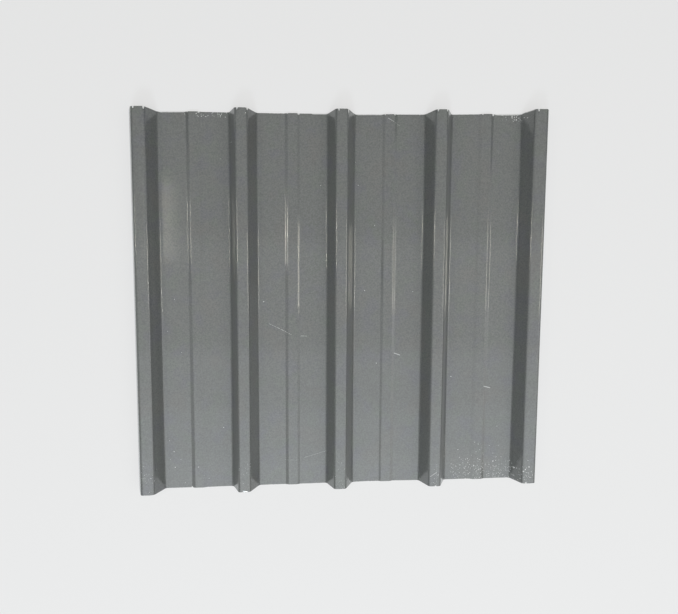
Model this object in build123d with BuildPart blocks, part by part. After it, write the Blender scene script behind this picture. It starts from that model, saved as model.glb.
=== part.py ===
"""PVC tile roof sheet: one cut length of ribbed sheet, lying face up.

The sheet is one wall of even thickness. Five trapezoid ribs run along Y, with
a pan between each two. A low raised band runs down the middle of every pan.
The crests of the two edge ribs are a little wider, and their outer legs come
only part of the way down, so the sheet lies on the undersides of its pans. The
two ends are sawn, and neither is quite square.

Frame: X across the ribs, Y along them, Z up. The origin is the centre of the
sheet's bounding box in X and Y, at the level the pans lie on. Sizes are in mm.
"""
import os

from build123d import *

os.makedirs("parts", exist_ok=True)

# Stock section
PITCH = 210.0
RIB_COUNT = 5
RIB_HEIGHT = 32.5
RIB_BASE = 59.0
CREST_WIDTH = 25.0
WALL = 2.0

# Low band in the middle of each pan
BAND_TOP_WIDTH = 19.0
BAND_SLOPE_RUN = 7.0
BAND_HEIGHT = 2.8

# Outer legs of the two edge ribs
EDGE_CREST_EXTRA = 2.3
EDGE_LEG_RUN = 10.5
EDGE_LEG_DROP = 20.5

# Bend radii on the face side
CREST_BEND = 8.0
FOOT_BEND = 8.0
BAND_BEND = 8.0

# Cut piece, longest corner to longest corner, and how far each end is out of square
LENGTH = 832.0
FAR_END_SLANT = 5.5
NEAR_END_SLANT = 19.0
SAW_MARGIN = 20.0

# Reach of the corner selectors
TOUCH = 0.01

PAN_LEVEL = WALL
CREST_LEVEL = PAN_LEVEL + RIB_HEIGHT
BAND_LEVEL = PAN_LEVEL + BAND_HEIGHT
LEG_LEVEL = CREST_LEVEL - EDGE_LEG_DROP
BAND_FOOT_WIDTH = BAND_TOP_WIDTH + 2 * BAND_SLOPE_RUN
PAN_START = RIB_BASE / 2
BAND_START = (PITCH - BAND_FOOT_WIDTH) / 2
OUTER_RIB_X = PITCH * (RIB_COUNT - 1) / 2
OUTER_CREST_X = OUTER_RIB_X + CREST_WIDTH / 2 + EDGE_CREST_EXTRA
OUTER_LEG_X = OUTER_CREST_X + EDGE_LEG_RUN


def face_points() -> list[tuple[float, float]]:
    """Corners of the face side from the left leg to the right leg, before bending."""
    points = [(-OUTER_LEG_X, LEG_LEVEL), (-OUTER_CREST_X, CREST_LEVEL)]
    for pan in range(RIB_COUNT - 1):
        left_rib = -OUTER_RIB_X + pan * PITCH
        right_rib = left_rib + PITCH
        middle = left_rib + PITCH / 2
        points += [
            (left_rib + CREST_WIDTH / 2, CREST_LEVEL),
            (left_rib + RIB_BASE / 2, PAN_LEVEL),
            (middle - BAND_FOOT_WIDTH / 2, PAN_LEVEL),
            (middle - BAND_TOP_WIDTH / 2, BAND_LEVEL),
            (middle + BAND_TOP_WIDTH / 2, BAND_LEVEL),
            (middle + BAND_FOOT_WIDTH / 2, PAN_LEVEL),
            (right_rib - RIB_BASE / 2, PAN_LEVEL),
            (right_rib - CREST_WIDTH / 2, CREST_LEVEL),
        ]
    points += [(OUTER_CREST_X, CREST_LEVEL), (OUTER_LEG_X, LEG_LEVEL)]
    return points


def near_cut_y(x: float) -> float:
    """Y of the near saw cut: the left leg is left longest."""
    return -LENGTH / 2 + NEAR_END_SLANT * (x + OUTER_LEG_X) / (2 * OUTER_LEG_X)


def far_cut_y(x: float) -> float:
    """Y of the far saw cut: the right leg is left longest."""
    return LENGTH / 2 - FAR_END_SLANT * (OUTER_LEG_X - x) / (2 * OUTER_LEG_X)


def from_nearest_rib(x: float) -> float:
    """Distance across the sheet from the nearest rib's centre."""
    return abs((x + OUTER_RIB_X + PITCH / 2) % PITCH - PITCH / 2)


def is_crest_corner(corner: Vertex) -> bool:
    """True for the corners along the tops of the ribs; Y is height in the section's plane."""
    return abs(corner.Y - CREST_LEVEL) < TOUCH


def is_foot_corner(corner: Vertex) -> bool:
    """True where a rib's slope meets the flat of a pan."""
    return abs(corner.Y - PAN_LEVEL) < TOUCH and from_nearest_rib(corner.X) < PAN_START + TOUCH


def is_band_corner(corner: Vertex) -> bool:
    """True for the four corners of each pan's band."""
    return from_nearest_rib(corner.X) > BAND_START - TOUCH


with BuildPart() as roof_sheet:
    # Bent section, drawn on its face side and thickened downwards
    with BuildSketch(Plane.XZ) as section:
        with BuildLine() as face_side:
            Polyline(*face_points())
            fillet(face_side.vertices().filter_by(lambda v: is_crest_corner(v)), radius=CREST_BEND)
            fillet(face_side.vertices().filter_by(lambda v: is_foot_corner(v)), radius=FOOT_BEND)
            fillet(face_side.vertices().filter_by(lambda v: is_band_corner(v)), radius=BAND_BEND)
            offset(amount=WALL, side=Side.RIGHT)
        make_face()
    extrude(amount=LENGTH / 2 + SAW_MARGIN, both=True)

    # Saw cuts: the plan outline that is kept, left corners first
    plan_side = OUTER_LEG_X + SAW_MARGIN
    with BuildSketch(Plane.XY) as kept_plan:
        with BuildLine() as saw_lines:
            Polyline(
                (-plan_side, near_cut_y(-plan_side)),
                (-plan_side, far_cut_y(-plan_side)),
                (plan_side, far_cut_y(plan_side)),
                (plan_side, near_cut_y(plan_side)),
                close=True,
            )
        make_face()
    extrude(amount=CREST_LEVEL + SAW_MARGIN, mode=Mode.INTERSECT)

roof_sheet.part.label = "roof_sheet"
export_step(roof_sheet.part, "parts/roof_sheet.step")
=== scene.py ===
"""Looks of the PVC tile roof sheet: its finished surface, sawn ends, wear, studio and camera.

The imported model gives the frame. The sheet is modelled again here as one closed
surface on the same section, with ragged saw cuts and chipped corners, and it
stands for the plain solid. Lengths are in metres, X across the ribs, Y along
them and Z up.
"""
import logging
import math
from dataclasses import dataclass, field
from enum import Enum

import bpy
import numpy as np
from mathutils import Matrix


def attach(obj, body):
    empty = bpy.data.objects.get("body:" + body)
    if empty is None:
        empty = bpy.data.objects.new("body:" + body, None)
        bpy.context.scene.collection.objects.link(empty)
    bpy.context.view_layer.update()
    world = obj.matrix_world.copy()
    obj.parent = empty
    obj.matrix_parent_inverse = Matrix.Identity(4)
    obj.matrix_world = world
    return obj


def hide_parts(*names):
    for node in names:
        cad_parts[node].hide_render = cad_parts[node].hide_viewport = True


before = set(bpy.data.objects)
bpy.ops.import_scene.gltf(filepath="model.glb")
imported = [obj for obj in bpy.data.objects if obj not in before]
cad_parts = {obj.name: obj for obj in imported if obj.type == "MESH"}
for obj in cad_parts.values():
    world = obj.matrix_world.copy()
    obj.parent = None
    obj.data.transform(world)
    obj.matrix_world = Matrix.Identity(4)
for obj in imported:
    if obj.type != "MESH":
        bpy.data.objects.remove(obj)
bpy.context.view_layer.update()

LOG = logging.getLogger("roof_sheet")
Colour = tuple[float, float, float]
Vector = tuple[float, float, float]
Point = tuple[float, float]
Socket = bpy.types.NodeSocket

# A noise texture's values lie mostly in a span of this size above this level
NOISE_LOW = 0.3
NOISE_SPAN = 0.4

# Light of the studio
WHITE: Colour = (1.0, 1.0, 1.0)
COOL: Colour = (0.94, 0.98, 1.0)
WARM: Colour = (1.0, 0.96, 0.82)

# The tubes hang a little lower, because lamps at one height hide each other in reflections
SOFTBOX_HEIGHT = 3.5
TUBE_HEIGHT = 3.44


class Surface(Enum):
    """Material slots of the sheet."""

    MOULDED = 0
    SAWN = 1


class Cut(Enum):
    """The two saw cuts, each with the sign of its side along Y."""

    NEAR = -1
    FAR = 1


@dataclass(frozen=True)
class BentSection:
    """Section across the sheet, as its face side is bent and thickened downwards.

    Args:
        pitch: Distance between rib centres.
        rib_count: Number of ribs.
        rib_height: Crest above the pans.
        rib_base: Width of a rib at the pans.
        crest_width: Width of a crest before its corners are bent.
        wall: Thickness of the sheet.
        band_top_width: Width of the raised band's top.
        band_slope_run: Width of each side slope of the band.
        band_height: Height of the band above the pan.
        edge_crest_extra: How much wider the outer halves of the edge crests are.
        edge_leg_run: Width of an outer leg.
        edge_leg_drop: Drop of an outer leg.
        bend: Radius of every bend on the face side.
        edge_round: Rounding of the long edges.
        steep_turn: A turn that a rib's bends are over and a band's bends are under.
    """

    pitch: float = 0.210
    rib_count: int = 5
    rib_height: float = 0.0325
    rib_base: float = 0.059
    crest_width: float = 0.025
    wall: float = 0.002
    band_top_width: float = 0.019
    band_slope_run: float = 0.007
    band_height: float = 0.0028
    edge_crest_extra: float = 0.0023
    edge_leg_run: float = 0.0105
    edge_leg_drop: float = 0.0205
    bend: float = 0.008
    edge_round: float = 0.0005
    steep_turn: float = math.radians(40)

    @property
    def outer_leg_x(self) -> float:
        """Half the width over the two outer legs."""
        outer_rib = self.pitch * (self.rib_count - 1) / 2
        return outer_rib + self.crest_width / 2 + self.edge_crest_extra + self.edge_leg_run

    def corners(self) -> np.ndarray:
        """Corners of the face side before bending, from the left leg to the right leg.

        The eight corners of one pan are repeated at every pitch, and the two
        corners of each outer leg close the row.

        Returns:
            Array of (X, Z) rows.
        """
        crest = self.wall + self.rib_height
        pan, band = self.wall, self.wall + self.band_height
        middle, half_top = self.pitch / 2, self.band_top_width / 2
        half_foot = half_top + self.band_slope_run
        one_pan = np.array([
            (self.crest_width / 2, crest),
            (self.rib_base / 2, pan),
            (middle - half_foot, pan),
            (middle - half_top, band),
            (middle + half_top, band),
            (middle + half_foot, pan),
            (self.pitch - self.rib_base / 2, pan),
            (self.pitch - self.crest_width / 2, crest),
        ])
        left_ribs = self.pitch * (np.arange(self.rib_count - 1) - (self.rib_count - 1) / 2)
        shift = np.stack([left_ribs, np.zeros_like(left_ribs)], axis=1)
        pans = (one_pan[None, :, :] + shift[:, None, :]).reshape(-1, 2)
        leg_x = self.outer_leg_x
        crest_x = leg_x - self.edge_leg_run
        leg = crest - self.edge_leg_drop
        left = np.array([(-leg_x, leg), (-crest_x, crest)])
        right = np.array([(crest_x, crest), (leg_x, leg)])
        return np.concatenate([left, pans, right])

    def runs(self) -> tuple[np.ndarray, np.ndarray, np.ndarray, np.ndarray]:
        """Straights and bends in turn along the face side.

        A bend takes radius times tan(half its turn) off the straight on each
        side of it, and is radius times its turn long. The heading grows by
        curvature times length, and a run of length L, curvature k and heading h
        ends a chord L sin(kL/2) / (kL/2) away, in the direction h + kL/2.

        Returns:
            Start distance, start point, start heading and curvature of each run,
            with one more start distance for the end of the path.
        """
        corners = self.corners()
        sides = np.diff(corners, axis=0)
        lengths = np.hypot(sides[:, 0], sides[:, 1])
        directions = np.arctan2(sides[:, 1], sides[:, 0])
        turns = np.diff(directions)
        trims = np.concatenate([[0.0], self.bend * np.tan(np.abs(turns) / 2), [0.0]])
        run_lengths = np.zeros(2 * len(lengths) - 1)
        run_lengths[0::2] = lengths - trims[:-1] - trims[1:]
        run_lengths[1::2] = self.bend * np.abs(turns)
        curvature = np.zeros_like(run_lengths)
        curvature[1::2] = np.sign(turns) / self.bend
        start = np.concatenate([[0.0], np.cumsum(run_lengths)])
        turned = np.concatenate([[0.0], np.cumsum(curvature * run_lengths)])
        heading = directions[0] + turned[:-1]
        step = chord(run_lengths, heading, curvature)
        point = corners[0] + np.concatenate([np.zeros((1, 2)), np.cumsum(step, axis=0)])[:-1]
        return start, point, heading, curvature

    def along(self, distance: np.ndarray) -> tuple[np.ndarray, np.ndarray]:
        """Points and face normals at distances along the bent face side.

        Args:
            distance: Distances from the left leg's edge.

        Returns:
            (X, Z) points and unit normals, which point out of the face side.
        """
        start, point, heading, curvature = self.runs()
        run = np.clip(np.searchsorted(start, distance, side="right") - 1, 0, len(heading) - 1)
        rest = distance - start[run]
        place = point[run] + chord(rest, heading[run], curvature[run])
        direction = heading[run] + curvature[run] * rest
        return place, np.stack([-np.sin(direction), np.cos(direction)], axis=1)

    def columns(self, spacing: float, foot_spacing: float, bend_spacing: float) -> np.ndarray:
        """Distances of the mesh's columns, even within every straight and every bend.

        Args:
            spacing: Largest gap on a straight.
            foot_spacing: Largest gap on the hollow bends at the feet of the ribs.
            bend_spacing: Largest gap on the other bends, where highlights are thin.

        Returns:
            Rising distances, with one more near each long edge for its rounding.
        """
        start, _, _, curvature = self.runs()
        lengths = np.diff(start)
        turn = np.abs(curvature * lengths)
        foot = (curvature > 0) & (turn > self.steep_turn)
        gap = np.select([curvature == 0.0, foot], [spacing, foot_spacing], bend_spacing)
        counts = np.maximum(np.ceil(lengths / gap), 2).astype(int)
        run = np.repeat(np.arange(len(counts)), counts)
        first = np.concatenate([[0], np.cumsum(counts)[:-1]])
        share = (np.arange(counts.sum()) - first[run]) / counts[run]
        inner = start[run] + share * lengths[run]
        end = start[-1]
        return np.concatenate([[0.0, self.edge_round], inner[1:], [end - self.edge_round, end]])


def chord(length: np.ndarray, heading: np.ndarray, curvature: np.ndarray) -> np.ndarray:
    """Step from the start of a straight or circular run to a point on it.

    Args:
        length: Distance along the run.
        heading: Direction at the run's start.
        curvature: Turn for each metre of the run.

    Returns:
        (X, Z) steps: a chord of length L sin(kL/2) / (kL/2) in direction h + kL/2.
    """
    span = length * np.sinc(curvature * length / (2 * math.pi))
    direction = heading + curvature * length / 2
    return np.stack([span * np.cos(direction), span * np.sin(direction)], axis=-1)


def wander(at: np.ndarray, spacing: float, rng: np.random.Generator) -> np.ndarray:
    """Smooth seeded noise along a line.

    Random levels stand at even knots, and each point eases from one to the next
    by 3t^2 - 2t^3.

    Args:
        at: Places along the line.
        spacing: Distance between knots.
        rng: Source of the random levels.

    Returns:
        Values from 0 to 1, one for each place.
    """
    low, high = float(at.min()), float(at.max())
    levels = rng.random(int((high - low) / spacing) + 3)
    knot, share = np.divmod((at - low) / spacing, 1.0)
    knot = knot.astype(int)
    eased = share * share * (3 - 2 * share)
    return levels[knot] * (1 - eased) + levels[knot + 1] * eased


@dataclass(frozen=True)
class ChipAndGlint:
    """A flake or a line chipped out of the face side at a saw cut, which shows pale plastic and a
    painted glint.

    Its edge is where |2 dx / width|^square plus (distance from the cut / reach)^2
    comes to 1.

    Args:
        cut: The end that it is on.
        x: Its middle across the sheet.
        width: Its width across the sheet.
        reach: How far it runs in from the cut.
        drop: Depth of its bowl at the cut.
        pale: How white it is, from 0 to 1, partly as a painted glint.
        square: 2 for a rounded flake, more for a long line with square ends.
    """

    cut: Cut
    x: float
    width: float = 0.0032
    reach: float = 0.0050
    drop: float = 0.0011
    pale: float = 1.0
    square: float = 2.0


def pale_line(x_start: float, x_end: float, reach: float, pale: float) -> ChipAndGlint:
    """A long shallow bevel along the far saw cut, with square ends, its white partly a painted
    glint.
    """
    middle, width = (x_start + x_end) / 2, x_end - x_start
    return ChipAndGlint(Cut.FAR, middle, width, reach, drop=0.0004, pale=pale, square=8.0)


@dataclass(frozen=True)
class SawCuts:
    """Lines of the two saw cuts, with their ragged edges and chips.

    Args:
        length: Length over the longest corners.
        far_slant: How far the far cut is out of square over the width.
        near_slant: How far the near cut is out of square over the width.
        far_hollow: How far the far cut stands back from a straight line, at places across.
        near_hollow: The same for the near cut.
        coarse: Largest slow wander of a cut, always inwards.
        coarse_knots: Knot spacing of the slow wander, and of the noise that strengthens it.
        fine: Largest quick wander of a cut, always inwards.
        fine_knots: The same spacings for the quick wander.
        pale_rise: How quickly the whiteness rises inside a chip's edge.
        chips_and_glints: Flakes and lines chipped out of the two ends, white partly as painted
            glints.
        seed: Seed of the wander.
    """

    length: float = 0.832
    far_slant: float = 0.0055
    near_slant: float = 0.019
    far_hollow: tuple[Point, ...] = (
        (-0.445, 0.0008), (-0.340, 0.0), (-0.270, 0.0005), (-0.200, 0.0018), (0.0, 0.0028),
        (0.110, 0.0030), (0.220, 0.0022), (0.320, 0.0006), (0.433, 0.0), (0.440, 0.0012),
        (0.445, 0.0033),
    )
    near_hollow: tuple[Point, ...] = (
        (-0.445, 0.0060), (-0.4435, 0.0035), (-0.440, 0.0010), (-0.436, 0.0), (-0.290, 0.0),
        (-0.200, 0.0007), (0.0, 0.0010), (0.110, 0.0016), (0.210, 0.0004), (0.300, 0.0),
        (0.440, 0.0), (0.4435, 0.0010), (0.445, 0.0022),
    )
    coarse: float = 0.0007
    coarse_knots: Point = (0.031, 0.120)
    fine: float = 0.0005
    fine_knots: Point = (0.0032, 0.055)
    pale_rise: float = 3.0
    chips_and_glints: tuple[ChipAndGlint, ...] = (
        ChipAndGlint(Cut.FAR, -0.4298, 0.0040),
        ChipAndGlint(Cut.FAR, -0.4086, 0.0038, 0.0060),
        ChipAndGlint(Cut.FAR, -0.2176),
        ChipAndGlint(Cut.FAR, -0.1967, 0.0036),
        ChipAndGlint(Cut.FAR, -0.0068),
        ChipAndGlint(Cut.FAR, 0.0140, 0.0030, 0.0085),
        ChipAndGlint(Cut.FAR, 0.2011, 0.0030),
        ChipAndGlint(Cut.FAR, 0.2211, 0.0034),
        ChipAndGlint(Cut.FAR, 0.4142, 0.0040, 0.0055),
        ChipAndGlint(Cut.FAR, 0.4395, 0.0035, 0.0040, 0.0008, 0.8),
        ChipAndGlint(Cut.FAR, -0.3275, 0.0030, 0.0022, 0.0006, 0.7),
        ChipAndGlint(Cut.FAR, -0.3033, 0.0034, 0.0034),
        ChipAndGlint(Cut.FAR, -0.1151, 0.0030, 0.0022, 0.0006, 0.7),
        ChipAndGlint(Cut.FAR, -0.0916, 0.0056, 0.0034),
        ChipAndGlint(Cut.FAR, 0.0948, 0.0032, 0.0026, 0.0008, 0.8),
        ChipAndGlint(Cut.FAR, 0.1153, 0.0034, 0.0030),
        ChipAndGlint(Cut.FAR, 0.1700, 0.0030, 0.0020, 0.0006, 0.6),
        ChipAndGlint(Cut.FAR, 0.3062, 0.0032, 0.0026, 0.0008, 0.8),
        ChipAndGlint(Cut.FAR, 0.3296, 0.0050, 0.0046),
        pale_line(-0.388, -0.331, 0.0022, 0.75),
        pale_line(-0.064, -0.028, 0.0023, 0.60),
        pale_line(0.030, 0.091, 0.0021, 0.55),
        pale_line(0.332, 0.394, 0.0024, 0.90),
        pale_line(0.396, 0.408, 0.0020, 0.55),
        ChipAndGlint(Cut.NEAR, -0.3320, 0.0036, 0.0030, 0.0008, 0.7),
        ChipAndGlint(Cut.NEAR, -0.2085, 0.0130, 0.0024, 0.0006, 0.6, 4.0),
        ChipAndGlint(Cut.NEAR, 0.2120, 0.0050, 0.0024, 0.0006, 0.7),
        ChipAndGlint(Cut.NEAR, 0.4154, 0.0050, 0.0040, 0.0009, 0.7),
    )
    seed: int = 21

    def line(self, cut: Cut, x: np.ndarray, half_width: float) -> np.ndarray:
        """Y of a saw cut: a straight line across the sheet, a little out of square.

        Args:
            cut: Which end.
            x: Places across the sheet.
            half_width: Half the sheet's width, where the slants are measured.

        Returns:
            Y at each place.
        """
        share = (x + half_width) / (2 * half_width)
        if cut is Cut.NEAR:
            return -self.length / 2 + self.near_slant * share
        return self.length / 2 - self.far_slant * (1 - share)

    def recess(self, cut: Cut, distance: np.ndarray, x: np.ndarray) -> np.ndarray:
        """How far a cut stands back from its straight line.

        Its hollow, its slow wander and its quick wander are added, and each
        wander is the product of two noises.

        Args:
            cut: Which end.
            distance: Distances along the bent face side.
            x: Places across the sheet.

        Returns:
            How far the cut stands back at each place.
        """
        rng = np.random.default_rng(self.seed + cut.value)
        hollow = np.array(self.near_hollow if cut is Cut.NEAR else self.far_hollow)
        slow, slow_strength = (wander(distance, gap, rng) for gap in self.coarse_knots)
        quick, quick_strength = (wander(distance, gap, rng) for gap in self.fine_knots)
        bow = np.interp(x, hollow[:, 0], hollow[:, 1])
        return bow + self.coarse * slow * slow_strength + self.fine * quick * quick_strength

    def chip_depth_and_glint(self, cut: Cut, x: np.ndarray, reach: np.ndarray) -> tuple[np.ndarray, np.ndarray]:
        """Depth of the chips along one cut, and their whiteness, which is partly a painted glint.

        Within a chip's edge the depth is its drop times the square root of how
        far its edge formula stays under 1, and the whiteness rises to its full
        value over the outer part.

        Args:
            cut: Which end.
            x: Places across the sheet, one for each column.
            reach: Distances from the cut, in rows and columns.

        Returns:
            Depth and whiteness, in rows and columns.
        """
        depth, pale = np.zeros_like(reach), np.zeros_like(reach)
        for chip in (c for c in self.chips_and_glints if c.cut is cut):
            across = np.abs(2 * (x - chip.x) / chip.width) ** chip.square
            inside = np.clip(1 - across[None] - (reach / chip.reach) ** 2, 0, 1)
            depth = np.maximum(depth, chip.drop * np.sqrt(inside))
            # Whiteness of each chip, partly a painted glint at the bend of the cut.
            pale = np.maximum(pale, chip.pale * np.clip(self.pale_rise * inside, 0, 1))
        return depth, pale


@dataclass
class RoofSheet:
    """The whole sheet as one closed surface.

    Args:
        section: Section across the ribs.
        cuts: The two sawn ends.
        spacing: Largest gap between columns on a straight.
        foot_spacing: Largest gap between columns at the feet of the ribs.
        bend_spacing: Largest gap between columns on the other bends.
        end_steps: Distances of the rows that follow a sawn end.
        middle_rows: Number of rows between the two sets of end rows.
        cut_round: Rounding of the saw cuts' edges.
        deepest_chip: Most that a chip takes off the wall.
        edge_reach: Width of the painted dark shade line along the long edges.
        sharp_angle: Least angle between faces that makes an edge sharp.
        node: CAD node that the sheet stands for.
    """

    section: BentSection = field(default_factory=BentSection)
    cuts: SawCuts = field(default_factory=SawCuts)
    spacing: float = 0.0014
    foot_spacing: float = 0.0010
    bend_spacing: float = 0.0005
    end_steps: tuple[float, ...] = (
        0.0, 0.0003, 0.0008, 0.0014, 0.0022, 0.0032, 0.0044, 0.0058, 0.0076, 0.0120, 0.0200,
    )
    middle_rows: int = 22
    cut_round: float = 0.0003
    deepest_chip: float = 0.0012
    edge_reach: float = 0.0022
    sharp_angle: float = math.radians(35)
    node: str = "roof_sheet"

    def rows(self) -> tuple[np.ndarray, np.ndarray]:
        """Rows of the mesh from the near cut to the far cut.

        Row height is (1 - w) times the near cut plus w times the far cut plus
        an offset; w is 0 or 1 in the end rows and rises evenly between them.

        Returns:
            Share w and offset of each row.
        """
        steps = np.array(self.end_steps)
        share = np.linspace(0, 1, self.middle_rows + 2)[1:-1]
        weight = np.concatenate([np.zeros_like(steps), share, np.ones_like(steps)])
        offset = np.concatenate([steps, np.zeros_like(share), -steps[::-1]])
        return weight[:, None], offset[:, None]

    def grid(self) -> tuple[np.ndarray, np.ndarray, np.ndarray, np.ndarray]:
        """Vertices of the face side and the underside, both on the same rows and columns.

        A vertex stands at the face side's point less its depth times the face
        normal. Depth is 0 on the face and the wall on the underside, the
        outermost row and column of each lie one rounding nearer the middle of
        the wall, and a chip lowers the face by its own depth.

        Returns:
            Face vertices, underside vertices, column distances and whiteness of
            the chips, which is partly a painted glint.
        """
        section, cuts = self.section, self.cuts
        distance = section.columns(self.spacing, self.foot_spacing, self.bend_spacing)
        point, normal = section.along(distance)
        x = point[:, 0]
        near = cuts.line(Cut.NEAR, x, section.outer_leg_x) + cuts.recess(Cut.NEAR, distance, x)
        far = cuts.line(Cut.FAR, x, section.outer_leg_x) - cuts.recess(Cut.FAR, distance, x)
        weight, offset = self.rows()
        level = near[None] * (1 - weight) + far[None] * weight + offset
        near_depth, near_pale = cuts.chip_depth_and_glint(Cut.NEAR, x, level - near[None])
        far_depth, far_pale = cuts.chip_depth_and_glint(Cut.FAR, x, far[None] - level)
        depth = np.minimum(np.maximum(near_depth, far_depth), self.deepest_chip)
        depth[:, [0, -1]] += section.edge_round
        depth[[0, -1]] += self.cut_round
        under = np.full(level.shape, section.wall)
        under[:, [0, -1]] = section.wall - section.edge_round
        under[[0, -1]] = section.wall - self.cut_round
        face = self.place(point, normal, level, np.minimum(depth, under - self.cut_round))
        back = self.place(point, normal, level, under)
        return face, back, distance, np.maximum(near_pale, far_pale)

    @staticmethod
    def place(
        point: np.ndarray, normal: np.ndarray, y: np.ndarray, depth: np.ndarray
    ) -> np.ndarray:
        """Grid of vertices, each at its section point minus depth times normal.

        Args:
            point: (X, Z) points of the section, one for each column.
            normal: Face normals there.
            y: Y of each vertex, in rows and columns.
            depth: Depth of each vertex below the face, in rows and columns.

        Returns:
            (X, Y, Z) of each vertex, in rows and columns.
        """
        x = point[None, :, 0] - depth * normal[None, :, 0]
        z = point[None, :, 1] - depth * normal[None, :, 1]
        return np.stack([x, y, z], axis=-1)

    def faces(self, rows: int, columns: int) -> tuple[np.ndarray, np.ndarray]:
        """Quads of the closed surface and the material of each.

        Every row is a ring that runs right over the face side and back under
        it; neighbouring rings make the skin, and a strip from each face column
        to the underside column below it closes both ends.

        Args:
            rows: Number of rows.
            columns: Number of columns of each side.

        Returns:
            Vertex numbers of the quads, and their material slots.
        """
        ring = np.concatenate([np.arange(columns), columns + np.arange(columns)[::-1]])
        row = 2 * columns * np.arange(rows)[:, None]
        number = row + ring[None]
        after = np.roll(number, -1, axis=1)
        skin = np.stack([number[:-1], after[:-1], after[1:], number[1:]], axis=-1)
        sawn = np.zeros(skin.shape[:2], int)
        sawn[[0, -1]] = Surface.SAWN.value
        top, bottom = np.arange(columns), columns + np.arange(columns)
        near = np.stack([top[:-1], bottom[:-1], bottom[1:], top[1:]], axis=-1)
        far = near[:, ::-1] + 2 * columns * (rows - 1)
        quads = np.concatenate([skin.reshape(-1, 4), near, far])
        ends = np.full(2 * len(near), Surface.SAWN.value)
        return quads, np.concatenate([sawn.reshape(-1), ends])

    def mesh(self) -> bpy.types.Mesh:
        """Mesh of the sheet, with its UV map and the attributes that its finishes read.

        The attributes are face_side, 1 on the face side and 0 underneath; pale,
        the whiteness of the chips, partly a painted glint; and edge, which falls
        from 1 to 0 over a narrow strip along the long edges, where shade is painted.

        Returns:
            The mesh, with its two material slots still to be filled.
        """
        face, back, distance, pale = self.grid()
        rows, columns = pale.shape
        vertices = np.concatenate([face, back], axis=1).reshape(-1, 3)
        quads, slots = self.faces(rows, columns)
        mesh = bpy.data.meshes.new("roof_sheet_finished")
        mesh.from_pydata(vertices, [], quads)
        mesh.polygons.foreach_set("material_index", slots)
        near_edge = np.minimum(distance, distance[-1] - distance) / self.edge_reach
        edge = np.clip(1 - near_edge, 0, 1)
        add_attribute(mesh, "face_side", np.tile(np.repeat([1.0, 0.0], columns), rows))
        both_sides = np.concatenate([pale, np.zeros_like(pale)], axis=1)
        add_attribute(mesh, "pale", both_sides.reshape(-1))
        add_attribute(mesh, "edge", np.tile(np.concatenate([edge, edge]), rows))
        loops = quads.reshape(-1)
        across = np.tile(np.concatenate([distance, distance]), rows)
        uv = np.stack([across[loops], vertices[loops, 1]], axis=1)
        layer = mesh.uv_layers.new(name="unrolled")
        layer.data.foreach_set("uv", uv.astype(np.float32).reshape(-1))
        mesh.shade_smooth()
        mesh.set_sharp_from_angle(angle=self.sharp_angle)
        mesh.validate()
        return mesh

    def build(self, moulded: bpy.types.Material, sawn: bpy.types.Material) -> None:
        """Make the sheet's object, dress it and let it stand for its CAD node.

        Args:
            moulded: Finish of the moulded surface.
            sawn: Finish of the sawn ends and chips.
        """
        piece = bpy.data.objects.new("roof_sheet_finished", self.mesh())
        bpy.context.scene.collection.objects.link(piece)
        piece.data.materials.append(moulded)
        piece.data.materials.append(sawn)
        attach(piece, "root")
        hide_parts(self.node)
        LOG.info("%s: %d faces", piece.name, len(piece.data.polygons))


def add_attribute(mesh: bpy.types.Mesh, name: str, values: np.ndarray) -> None:
    """Store one number for each vertex under a name."""
    attribute = mesh.attributes.new(name, "FLOAT", "POINT")
    attribute.data.foreach_set("value", values.astype(np.float32))


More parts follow.
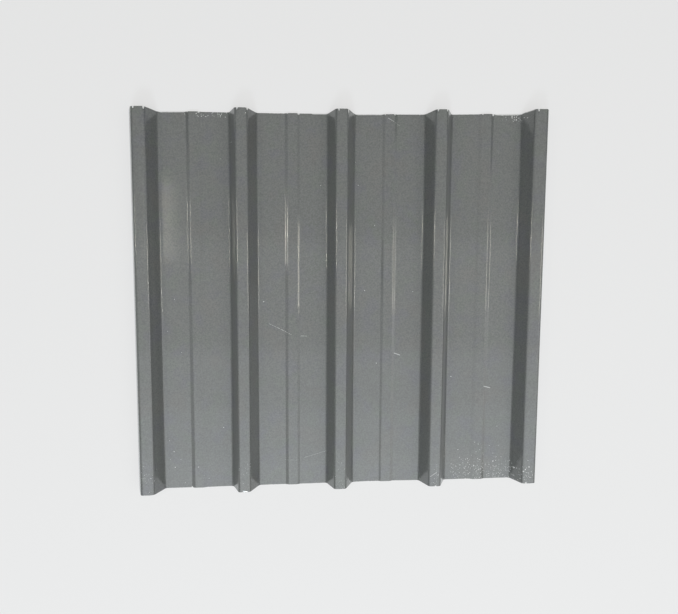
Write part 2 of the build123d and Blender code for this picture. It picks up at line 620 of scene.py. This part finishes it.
class Graph:
    """Short ways to add and link the nodes of one material or world."""

    def __init__(self, tree: bpy.types.NodeTree) -> None:
        """Start from an empty tree."""
        self.tree = tree
        tree.nodes.clear()

    def node(self, kind: str, inputs: dict | None = None, **settings: object) -> bpy.types.Node:
        """Add a node.

        Args:
            kind: Blender's name of the node type.
            inputs: Values or sockets for the node's inputs, by name or number.
            **settings: Properties of the node.

        Returns:
            The node.
        """
        made = self.tree.nodes.new(kind)
        for name, value in settings.items():
            setattr(made, name, value)
        for key, value in (inputs or {}).items():
            self.feed(made.inputs[key], value)
        return made

    def feed(self, socket: Socket, value: object) -> None:
        """Link a socket to an input, or write a plain value on it.

        Args:
            socket: The input.
            value: Socket or plain value that it is fed with.
        """
        if isinstance(value, Socket):
            self.tree.links.new(value, socket)
        else:
            socket.default_value = value

    def math(self, operation: str, *values: object) -> Socket:
        """Result of a Math node on the first two numbers, then on that and the next, and so on.

        Args:
            operation: Blender's name of the operation.
            *values: Numbers or sockets.

        Returns:
            The result.
        """
        result, *others = values
        for other in others:
            made = self.node("ShaderNodeMath", {0: result, 1: other}, operation=operation)
            result = made.outputs[0]
        return result

    def product(self, *factors: object) -> Socket:
        """Product of two or more numbers."""
        return self.math("MULTIPLY", *factors)

    def vector(self, operation: str, first: object, second: object) -> bpy.types.Node:
        """A Vector Math node on two vectors."""
        return self.node("ShaderNodeVectorMath", {0: first, 1: second}, operation=operation)

    def blend(self, share: object, low: object, high: object) -> Socket:
        """Mix of two numbers, low where the share is 0 and high where it is 1."""
        inputs = {0: share, 2: low, 3: high}
        return self.node("ShaderNodeMix", inputs, data_type="FLOAT").outputs[0]

    def tint(self, share: object, low: object, high: object) -> Socket:
        """Mix of two colours, low where the share is 0 and high where it is 1."""
        low, high = (ink if isinstance(ink, Socket) else (*ink, 1.0) for ink in (low, high))
        return self.node("ShaderNodeMix", {0: share, 6: low, 7: high}, data_type="RGBA").outputs[2]

    def fade(self, value: object, start: float, end: float) -> Socket:
        """Ease from 0 to 1, clamped outside.

        Args:
            value: Number that it follows.
            start: Value at which the result is 0.
            end: Value at which the result is 1; it may be below the start.

        Returns:
            The eased number.
        """
        names = ("Value", "From Min", "From Max", "To Min", "To Max")
        ends = (0.0, 1.0) if start < end else (1.0, 0.0)
        inputs = dict(zip(names, (value, min(start, end), max(start, end), *ends)))
        made = self.node("ShaderNodeMapRange", inputs, interpolation_type="SMOOTHSTEP")
        return made.outputs[0]

    def scaled(self, vector: object, factor: object) -> Socket:
        """A vector or colour times a number."""
        inputs = {0: vector, "Scale": factor}
        return self.node("ShaderNodeVectorMath", inputs, operation="SCALE").outputs[0]

    def noise(self, where: object, size: float, detail: float = 2.0) -> Socket:
        """Value noise from 0 to 1 whose features are about size metres across."""
        inputs = {"Vector": where, "Scale": 1.0 / size, "Detail": detail, "Roughness": 0.5}
        return self.node("ShaderNodeTexNoise", inputs).outputs["Fac"]

    def attribute(self, name: str) -> Socket:
        """Number stored on the mesh under a name."""
        return self.node("ShaderNodeAttribute", attribute_name=name).outputs["Fac"]


@dataclass(frozen=True)
class Scratch:
    """A thin pale scratch on the face side, straight in plan.

    Args:
        start: Its start in X and Y.
        end: Its end in X and Y.
        width: Its width.
        strength: How pale it is, from 0 to 1.
        filled: Share of its length that is marked; under 1 it is dashed.
        solid: Share of its half width that is as pale as its middle.
    """

    start: Point
    end: Point
    width: float = 0.0006
    strength: float = 0.6
    filled: float = 0.6
    solid: float = 0.6

    def mask(self, graph: Graph, plan: Socket, dashes: Socket) -> Socket:
        """Mask of the scratch.

        The nearest point of the line to a place p is start + t (end - start),
        with t = (p - start) . (end - start) / length^2 held between 0 and 1.

        Args:
            graph: The material's nodes.
            plan: Place in X and Y, with Z at 0.
            dashes: Noise from 0 to 1 that breaks the scratch up.

        Returns:
            Strength of the mark at each place.
        """
        run = (self.end[0] - self.start[0], self.end[1] - self.start[1])
        square = run[0] ** 2 + run[1] ** 2
        away = graph.vector("SUBTRACT", plan, (*self.start, 0.0)).outputs[0]
        step = (run[0] / square, run[1] / square, 0.0)
        share = graph.vector("DOT_PRODUCT", away, step).outputs["Value"]
        held = graph.math("MINIMUM", graph.math("MAXIMUM", share, 0.0), 1.0)
        along = graph.scaled((*run, 0.0), held)
        gap = graph.vector("DISTANCE", away, along).outputs["Value"]
        half = self.width / 2
        line = graph.fade(gap, half, half * self.solid)
        marked = graph.math("LESS_THAN", dashes, NOISE_LOW + NOISE_SPAN * self.filled)
        return graph.product(line, marked, self.strength)


@dataclass(frozen=True)
class Specks:
    """White specks scattered over a rectangle of the face side.

    Args:
        low: Its lowest X and Y.
        high: Its highest X and Y.
        cell: Mean distance between places where a speck can be.
        size: Largest width of a speck.
        share: Share of those places that have one.
        soft: Width over which the scatter thins out at the rectangle's sides.
        smallest: Least width of a speck, as a share of the largest.
    """

    low: Point
    high: Point
    cell: float
    size: float
    share: float
    soft: float = 0.012
    smallest: float = 0.5

    def mask(self, graph: Graph, plan: Socket, split: bpy.types.Node) -> Socket:
        """Mask of the specks.

        Each cell of a Voronoi pattern has one speck, where the distance to the
        cell's point is under a random radius, if another random number of the
        cell is under the share at that place.

        Args:
            graph: The material's nodes.
            plan: Place in X and Y, with Z at 0.
            split: Separate XYZ node of that place.

        Returns:
            1 on a speck and 0 elsewhere.
        """
        cells = graph.node("ShaderNodeTexVoronoi", {"Vector": plan, "Scale": 1.0 / self.cell})
        random = graph.node("ShaderNodeSeparateColor", {0: cells.outputs["Color"]})
        largest = self.size / self.cell / 2
        radius = graph.blend(random.outputs[0], self.smallest * largest, largest)
        dot = graph.math("LESS_THAN", cells.outputs["Distance"], radius)
        sides = [
            graph.fade(split.outputs[axis], edge, edge + sign * self.soft)
            for axis in (0, 1)
            for edge, sign in ((self.low[axis], 1), (self.high[axis], -1))
        ]
        chosen = graph.math("LESS_THAN", random.outputs[1], graph.product(*sides, self.share))
        return graph.product(dot, chosen)


@dataclass(frozen=True)
class Cast:
    """A cast of colour that comes and goes in soft patches.

    Args:
        colour: Colour of the plastic where it has the cast.
        start: Noise level at which the cast begins.
        end: Noise level at which it is full.
        size: Size of the patches.
        shift: Place in the noise that the patches are taken from.
    """

    colour: Colour
    start: float
    end: float
    size: float = 0.045
    shift: Vector = (0.0, 0.0, 0.0)

    def mask(self, graph: Graph, where: Socket) -> Socket:
        """How much of the cast each place has, from 0 to 1."""
        shifted = graph.vector("ADD", where, self.shift).outputs[0]
        return graph.fade(graph.noise(shifted, self.size), self.start, self.end)


@dataclass(frozen=True)
class WeatheredPvc:
    """Satin, finely embossed grey PVC, with the wear that the sheet has, painted shade along its
    long edges and painted glints on its chips.

    Args:
        colour: Plain colour of the plastic.
        casts: Where it leans to bluish purple, greenish grey and brownish grey.
        pale_and_glint: Colour of scuffs, specks, scratches, and of the chips, partly a painted
            glint.
        pale_mark_roughness: Roughness of those marks.
        edge_shade: Colour of the painted dark shade along the long edges.
        edge_shade_size: Size of the patches in that painted shade.
        edge_shade_levels: Noise levels at which the painted shade begins and is full.
        roughness: Roughness of the moulded surface.
        gloss: Specular level of the moulded surface.
        skin: Weight of the smooth skin on it, which gives the thin highlights.
        skin_roughness: Roughness of that skin.
        skin_ior: Index of refraction of that skin.
        grain: Size of the embossed grain.
        grain_depth: Height of the embossed grain.
        grain_smooth: How far its pebbles run into each other.
        grain_contrast: How much lighter or darker than the mean the grain is.
        fine_grain: Size and height of the finer noise on it, against its own.
        dash: Size of the noise that breaks up the scratches.
        speck_strength: How pale the specks are, from 0 to 1.
        chip_glint_grain: Size of the noise in the whiteness of the chips, partly a painted glint.
        chip_glint_levels: Whiteness of the chips at its lowest and highest.
        scratches: The scratches.
        specks: The scattered specks.
    """

    colour: Colour = (0.140, 0.1455, 0.142)
    casts: tuple[Cast, ...] = (
        Cast((0.137, 0.1405, 0.1475), 0.48, 0.68),
        Cast((0.1385, 0.1485, 0.1385), 0.50, 0.70, shift=(3.0, 1.0, 0.0)),
        Cast((0.1440, 0.1455, 0.1405), 0.52, 0.70, size=0.072, shift=(7.0, 5.0, 0.0)),
    )
    pale_and_glint: Colour = (0.78, 0.78, 0.77)
    pale_mark_roughness: float = 0.8
    edge_shade: Colour = (0.050, 0.043, 0.038)
    edge_shade_size: float = 0.006
    edge_shade_levels: Point = (0.30, 0.55)
    roughness: float = 0.34
    gloss: float = 0.10
    skin: float = 0.90
    skin_roughness: float = 0.095
    skin_ior: float = 1.65
    grain: float = 0.0030
    grain_depth: float = 0.00002
    grain_smooth: float = 0.7
    grain_contrast: float = 0.34
    fine_grain: float = 0.5
    dash: float = 0.0018
    speck_strength: float = 0.75
    chip_glint_grain: float = 0.002
    chip_glint_levels: Point = (0.70, 1.15)
    scratches: tuple[Scratch, ...] = (
        Scratch((0.1007, 0.4023), (0.1150, 0.3945), 0.0012, 0.6, 0.7),
        Scratch((0.1150, 0.3945), (0.1270, 0.3869), 0.0008, 0.4, 0.5),
        Scratch((-0.0791, -0.3464), (-0.0294, -0.3306), 0.0008, 0.45, 0.6),
        Scratch((-0.1221, -0.3507), (-0.0927, -0.3510), 0.0007, 0.40, 0.5),
        Scratch((0.3257, -0.1837), (0.3403, -0.1879), 0.0022, 0.50, 1.0),
        Scratch((0.1210, -0.1080), (0.1340, -0.1125), 0.0020, 0.50, 1.0),
        Scratch((-0.1570, -0.0420), (-0.1400, -0.0500), 0.0011, 0.35, 0.6),
        Scratch((-0.1400, -0.0500), (-0.1080, -0.0660), 0.0014, 0.45, 0.6),
        Scratch((-0.0870, -0.0690), (-0.0740, -0.0695), 0.0012, 0.50, 0.8),
        Scratch((0.2375, -0.2930), (0.2375, -0.4040), 0.0010, 0.45, 0.7),
        Scratch((0.2140, -0.3490), (0.2140, -0.3990), 0.0012, 0.35, 0.4),
        Scratch((0.2003, -0.3787), (0.2135, -0.3697), 0.0014, 0.50, 0.8),
        Scratch((0.0171, -0.3826), (0.0248, -0.4035), 0.0010, 0.45, 0.8),
    )
    specks: tuple[Specks, ...] = (
        Specks((-0.312, 0.399), (-0.240, 0.420), 0.0028, 0.0022, 0.45, 0.003),
        Specks((0.343, 0.398), (0.399, 0.425), 0.0030, 0.0026, 0.55, 0.006),
        Specks((0.378, 0.399), (0.400, 0.410), 0.0030, 0.0028, 0.80, 0.003),
        Specks((-0.355, 0.396), (-0.325, 0.412), 0.0028, 0.0018, 0.20, 0.004),
        Specks((0.235, -0.420), (0.440, -0.300), 0.0046, 0.0019, 0.55, 0.060),
        Specks((0.240, -0.420), (0.440, -0.345), 0.0027, 0.0017, 0.60, 0.035),
        Specks((0.330, -0.400), (0.430, -0.350), 0.0062, 0.0030, 0.60, 0.020),
        Specks((-0.437, -0.418), (-0.400, -0.330), 0.0034, 0.0014, 0.40, 0.010),
        Specks((-0.226, -0.410), (-0.193, -0.340), 0.0034, 0.0014, 0.40, 0.010),
        Specks((-0.016, -0.410), (0.016, -0.340), 0.0034, 0.0014, 0.30, 0.010),
        Specks((0.196, -0.405), (0.222, -0.340), 0.0034, 0.0014, 0.40, 0.010),
        Specks((-0.395, -0.416), (-0.250, -0.330), 0.0090, 0.0020, 0.45, 0.020),
        Specks((-0.398, -0.140), (-0.340, 0.040), 0.0100, 0.0024, 0.30, 0.020),
        Specks((-0.450, -0.420), (0.450, 0.420), 0.0280, 0.0022, 0.35, 0.010),
    )

    def material(self) -> bpy.types.Material:
        """Build the material.

        Returns:
            The material.
        """
        material = bpy.data.materials.new("weathered_grey_pvc")
        material.use_nodes = True
        graph = Graph(material.node_tree)
        where = graph.node("ShaderNodeTexCoord").outputs["Object"]
        # Pale marks: scratches and specks, and the chips' white, which is partly a painted glint.
        marked_and_glinting = self.marks(graph, where)
        colour = graph.tint(marked_and_glinting, self.plastic(graph, where), self.pale_and_glint)
        # Painted shade: a dark brownish line in noisy patches along the long edges, where the
        # outline is shaded.
        edge_shade_clots = graph.fade(graph.noise(where, self.edge_shade_size), *self.edge_shade_levels)
        painted_edge_shade = graph.product(graph.attribute("edge"), edge_shade_clots)
        colour = graph.tint(painted_edge_shade, colour, self.edge_shade)
        bump = graph.node(
            "ShaderNodeBump",
            {"Height": self.emboss(graph, where), "Strength": 1.0, "Distance": self.grain_depth},
        )
        dulled = graph.blend(marked_and_glinting, self.roughness, self.pale_mark_roughness)
        shader = graph.node(
            "ShaderNodeBsdfPrincipled",
            {
                "Base Color": colour,
                "Roughness": dulled,
                "Specular IOR Level": self.gloss,
                "Coat Weight": graph.blend(marked_and_glinting, self.skin, 0.0),
                "Coat Roughness": self.skin_roughness,
                "Coat IOR": self.skin_ior,
                "Normal": bump.outputs[0],
                "Coat Normal": bump.outputs[0],
            },
        )
        graph.node("ShaderNodeOutputMaterial", {"Surface": shader.outputs[0]})
        return material

    def plastic(self, graph: Graph, where: Socket) -> Socket:
        """Colour of the plastic: soft patches of the casts, and a fine grain of light and dark.

        Args:
            graph: The material's nodes.
            where: Place on the sheet.

        Returns:
            The colour.
        """
        colour = self.colour
        for cast in self.casts:
            colour = graph.tint(cast.mask(graph, where), colour, cast.colour)
        fine = graph.noise(where, self.grain, 1.0)
        level = graph.blend(fine, 1.0 - self.grain_contrast, 1.0 + self.grain_contrast)
        return graph.scaled(colour, level)

    def marks(self, graph: Graph, where: Socket) -> Socket:
        """Where the surface is pale: specks and scratches on the face side, and the chips with
        their painted glints.

        Args:
            graph: The material's nodes.
            where: Place on the sheet.

        Returns:
            Paleness from 0 to 1, partly painted glint.
        """
        plan = graph.vector("MULTIPLY", where, (1.0, 1.0, 0.0)).outputs[0]
        split = graph.node("ShaderNodeSeparateXYZ", {0: plan})
        dashes = graph.noise(plan, self.dash, 1.0)
        masks = [scratch.mask(graph, plan, dashes) for scratch in self.scratches]
        for scatter in self.specks:
            masks.append(graph.product(scatter.mask(graph, plan, split), self.speck_strength))
        # Scratches and white specks on the face side.
        scratched_and_specked = graph.product(graph.math("MAXIMUM", *masks), graph.attribute("face_side"))
        uneven = graph.blend(graph.noise(where, self.chip_glint_grain), *self.chip_glint_levels)
        # The chips' white is partly a painted glint at the bends of the cut.
        chips_and_glints = graph.product(graph.attribute("pale"), uneven)
        return graph.math("MINIMUM", graph.math("MAXIMUM", scratched_and_specked, chips_and_glints), 1.0)

    def emboss(self, graph: Graph, where: Socket) -> Socket:
        """Height of the embossed grain: rounded pebbles with a finer noise on them.

        Args:
            graph: The material's nodes.
            where: Place on the sheet.

        Returns:
            The height, as a share of the grain's depth.
        """
        pebbles = graph.node(
            "ShaderNodeTexVoronoi",
            {"Vector": where, "Scale": 1.0 / self.grain, "Smoothness": self.grain_smooth},
            feature="SMOOTH_F1",
        )
        noise = graph.noise(where, self.grain * self.fine_grain)
        fine = graph.math("MULTIPLY", noise, self.fine_grain)
        return graph.math("ADD", pebbles.outputs["Distance"], fine)


@dataclass(frozen=True)
class SawnPvc:
    """Dull, slightly paler plastic of the sawn ends, white where it is chipped, partly as a painted
    glint.

    Args:
        colour: Colour of the cut.
        burr: Colour of its burrs.
        burr_size: Size of the burrs.
        burr_levels: Noise levels at which a burr begins and is full.
        pale_and_glint: Colour of the chips, partly a painted glint.
        roughness: Roughness of the cut.
    """

    colour: Colour = (0.17, 0.17, 0.17)
    burr: Colour = (0.42, 0.42, 0.41)
    burr_size: float = 0.004
    burr_levels: Point = (0.50, 0.70)
    pale_and_glint: Colour = (0.80, 0.80, 0.79)
    roughness: float = 0.7

    def material(self) -> bpy.types.Material:
        """Build the material.

        Returns:
            The material.
        """
        material = bpy.data.materials.new("sawn_pvc")
        material.use_nodes = True
        graph = Graph(material.node_tree)
        where = graph.node("ShaderNodeTexCoord").outputs["Object"]
        share = graph.fade(graph.noise(where, self.burr_size), *self.burr_levels)
        colour = graph.tint(share, self.colour, self.burr)
        # The chips' white is partly a painted glint.
        colour = graph.tint(graph.attribute("pale"), colour, self.pale_and_glint)
        shader = graph.node(
            "ShaderNodeBsdfPrincipled", {"Base Color": colour, "Roughness": self.roughness}
        )
        graph.node("ShaderNodeOutputMaterial", {"Surface": shader.outputs[0]})
        return material


@dataclass(frozen=True)
class Lamp:
    """A rectangular area lamp that faces straight down.

    Args:
        name: Name of the lamp.
        place: X and Y of its middle.
        size: Width across and along the sheet.
        power: Watts.
        colour: Colour of its light.
        height: Height that it hangs at.
    """

    name: str
    place: Point
    size: Point
    power: float
    colour: Colour = WHITE
    height: float = SOFTBOX_HEIGHT

    def hang(self) -> None:
        """Add the lamp to the scene, facing down."""
        data = bpy.data.lights.new(self.name, "AREA")
        data.shape = "RECTANGLE"
        data.size, data.size_y = self.size
        data.energy = self.power
        data.color = self.colour
        lamp = bpy.data.objects.new(self.name, data)
        lamp.location = (*self.place, self.height)
        bpy.context.scene.collection.objects.link(lamp)


@dataclass(frozen=True)
class PaleFloor:
    """Plain matt floor, which the camera sees evenly pale with a soft shadow.

    Args:
        colour: Its colour.
        seen_colour: Even colour that the camera sees most of.
        shading: Share of its real light and shadow that the camera sees.
        half_size: Half its width.
    """

    colour: Colour = (0.83, 0.83, 0.83)
    seen_colour: Colour = (0.80, 0.80, 0.80)
    shading: float = 0.22
    half_size: float = 12.0

    def material(self) -> bpy.types.Material:
        """Build the floor's material, with its seen colour mixed in for the camera.

        Returns:
            The material.
        """
        material = bpy.data.materials.new("pale_floor")
        material.use_nodes = True
        graph = Graph(material.node_tree)
        lit = graph.node("ShaderNodeBsdfDiffuse", {"Color": (*self.colour, 1.0)})
        seen_colour = {"Color": (*self.seen_colour, 1.0), "Strength": 1.0}
        plain = graph.node("ShaderNodeEmission", seen_colour)
        seen = graph.node("ShaderNodeLightPath").outputs["Is Camera Ray"]
        sides = {0: graph.product(seen, 1.0 - self.shading), 1: lit.outputs[0], 2: plain.outputs[0]}
        mixed = graph.node("ShaderNodeMixShader", sides)
        graph.node("ShaderNodeOutputMaterial", {"Surface": mixed.outputs[0]})
        return material

    def lay(self) -> None:
        """Lay the floor at the level of the sheet's underside."""
        half = self.half_size
        corners = [(-half, -half, 0), (half, -half, 0), (half, half, 0), (-half, half, 0)]
        mesh = bpy.data.meshes.new("floor")
        mesh.from_pydata(corners, [], [(0, 1, 2, 3)])
        mesh.materials.append(self.material())
        floor = bpy.data.objects.new("floor", mesh)
        bpy.context.scene.collection.objects.link(floor)


@dataclass(frozen=True)
class Studio:
    """Floor, lamps, world and camera.

    Args:
        lamps: The lamps.
        world: Brightness of the even light from all around.
        backdrop: Brightness of the backdrop to the camera.
        eye: Place of the camera.
        turn: Camera's turns about X, Y and Z, in radians, taken in the order ZYX.
        focal_pixels: Focal length in pixels of the picture.
        picture: Width and height of the picture in pixels.
        principal: Pixel that the lens points at.
        sensor: Width of the camera's sensor in millimetres.
    """

    lamps: tuple[Lamp, ...] = (
        Lamp("overhead_softbox", (0.30, -2.8), (5.0, 2.0), 68.0, COOL),
        Lamp("overhead_edge", (0.30, -1.55), (5.0, 0.5), 14.5, COOL),
        Lamp("middle_edge", (0.30, -1.0), (5.0, 0.6), 14.0, (0.97, 0.99, 1.0)),
        Lamp("near_softbox", (-0.7, -4.8), (1.3, 1.8), 222.0, (0.84, 0.93, 1.0)),
        Lamp("middle_softbox", (0.35, -0.15), (4.9, 1.1), 18.0, (1.0, 1.0, 0.98)),
        Lamp("far_softbox", (0.3, 1.25), (5.3, 1.7), 21.0, (1.0, 0.99, 0.95)),
        Lamp("left_panel", (-4.4, -1.9), (4.4, 3.6), 30.0),
        Lamp("right_panel", (5.5, -1.9), (5.0, 3.6), 96.0),
        Lamp("far_left_panel", (-4.7, 1.05), (4.4, 2.1), 12.0),
        Lamp("far_right_panel", (5.8, 1.05), (5.4, 2.1), 26.0),
        Lamp("left_tube", (-3.34, 0.55), (0.14, 0.75), 22.0, WARM, TUBE_HEIGHT),
        Lamp("left_strip", (-1.550, 0.58), (0.04, 0.75), 0.38, WARM, TUBE_HEIGHT),
        Lamp("second_strip", (-1.445, 0.58), (0.04, 0.75), 0.32, WARM, TUBE_HEIGHT),
        Lamp("right_tube", (3.12, 0.17), (0.14, 1.05), 12.0, WARM, TUBE_HEIGHT),
        Lamp("right_window", (4.15, 0.17), (0.40, 1.05), 17.0, WARM, TUBE_HEIGHT),
    )
    world: float = 0.03
    backdrop: float = 0.83
    eye: Vector = (-0.0601, 0.0669, 0.9940)
    turn: Vector = (-0.0733, -0.0298, 0.0011)
    focal_pixels: float = 450.0
    picture: tuple[int, int] = (678, 614)
    principal: Point = (326.5, 307.5)
    sensor: float = 36.0

    def set_world(self) -> None:
        """Even weak light from all around, which the camera sees as a pale backdrop."""
        world = bpy.data.worlds.new("studio")
        world.use_nodes = True
        graph = Graph(world.node_tree)
        even = graph.node("ShaderNodeBackground", {"Strength": self.world})
        pale = graph.node("ShaderNodeBackground", {"Strength": self.backdrop})
        for background in (even, pale):
            background.inputs["Color"].default_value = (*WHITE, 1.0)
        seen = graph.node("ShaderNodeLightPath").outputs["Is Camera Ray"]
        mixed = graph.node("ShaderNodeMixShader", {0: seen, 1: even.outputs[0], 2: pale.outputs[0]})
        graph.node("ShaderNodeOutputWorld", {"Surface": mixed.outputs[0]})
        bpy.context.scene.world = world

    def set_camera(self) -> None:
        """Camera at the photograph's place, with its lens and framing."""
        data = bpy.data.cameras.new("camera")
        width, height = self.picture
        data.sensor_fit = "HORIZONTAL"
        data.sensor_width = self.sensor
        data.lens = self.focal_pixels * data.sensor_width / width
        data.shift_x = (width / 2 - self.principal[0]) / width
        data.shift_y = (self.principal[1] - height / 2) / width
        camera = bpy.data.objects.new("camera", data)
        camera.location = self.eye
        camera.rotation_mode = "ZYX"
        camera.rotation_euler = self.turn
        bpy.context.scene.collection.objects.link(camera)
        bpy.context.scene.camera = camera

    def build(self) -> None:
        """Set up the whole studio."""
        PaleFloor().lay()
        for lamp in self.lamps:
            lamp.hang()
            LOG.info("lamp: %s", lamp.name)
        self.set_world()
        self.set_camera()
        bpy.context.scene.view_settings.view_transform = "Standard"


def main() -> None:
    """Build the sheet and the studio."""
    logging.basicConfig(level=logging.INFO, format="%(name)s: %(message)s")
    RoofSheet().build(WeatheredPvc().material(), SawnPvc().material())
    Studio().build()


if __name__ == "__main__":
    main()
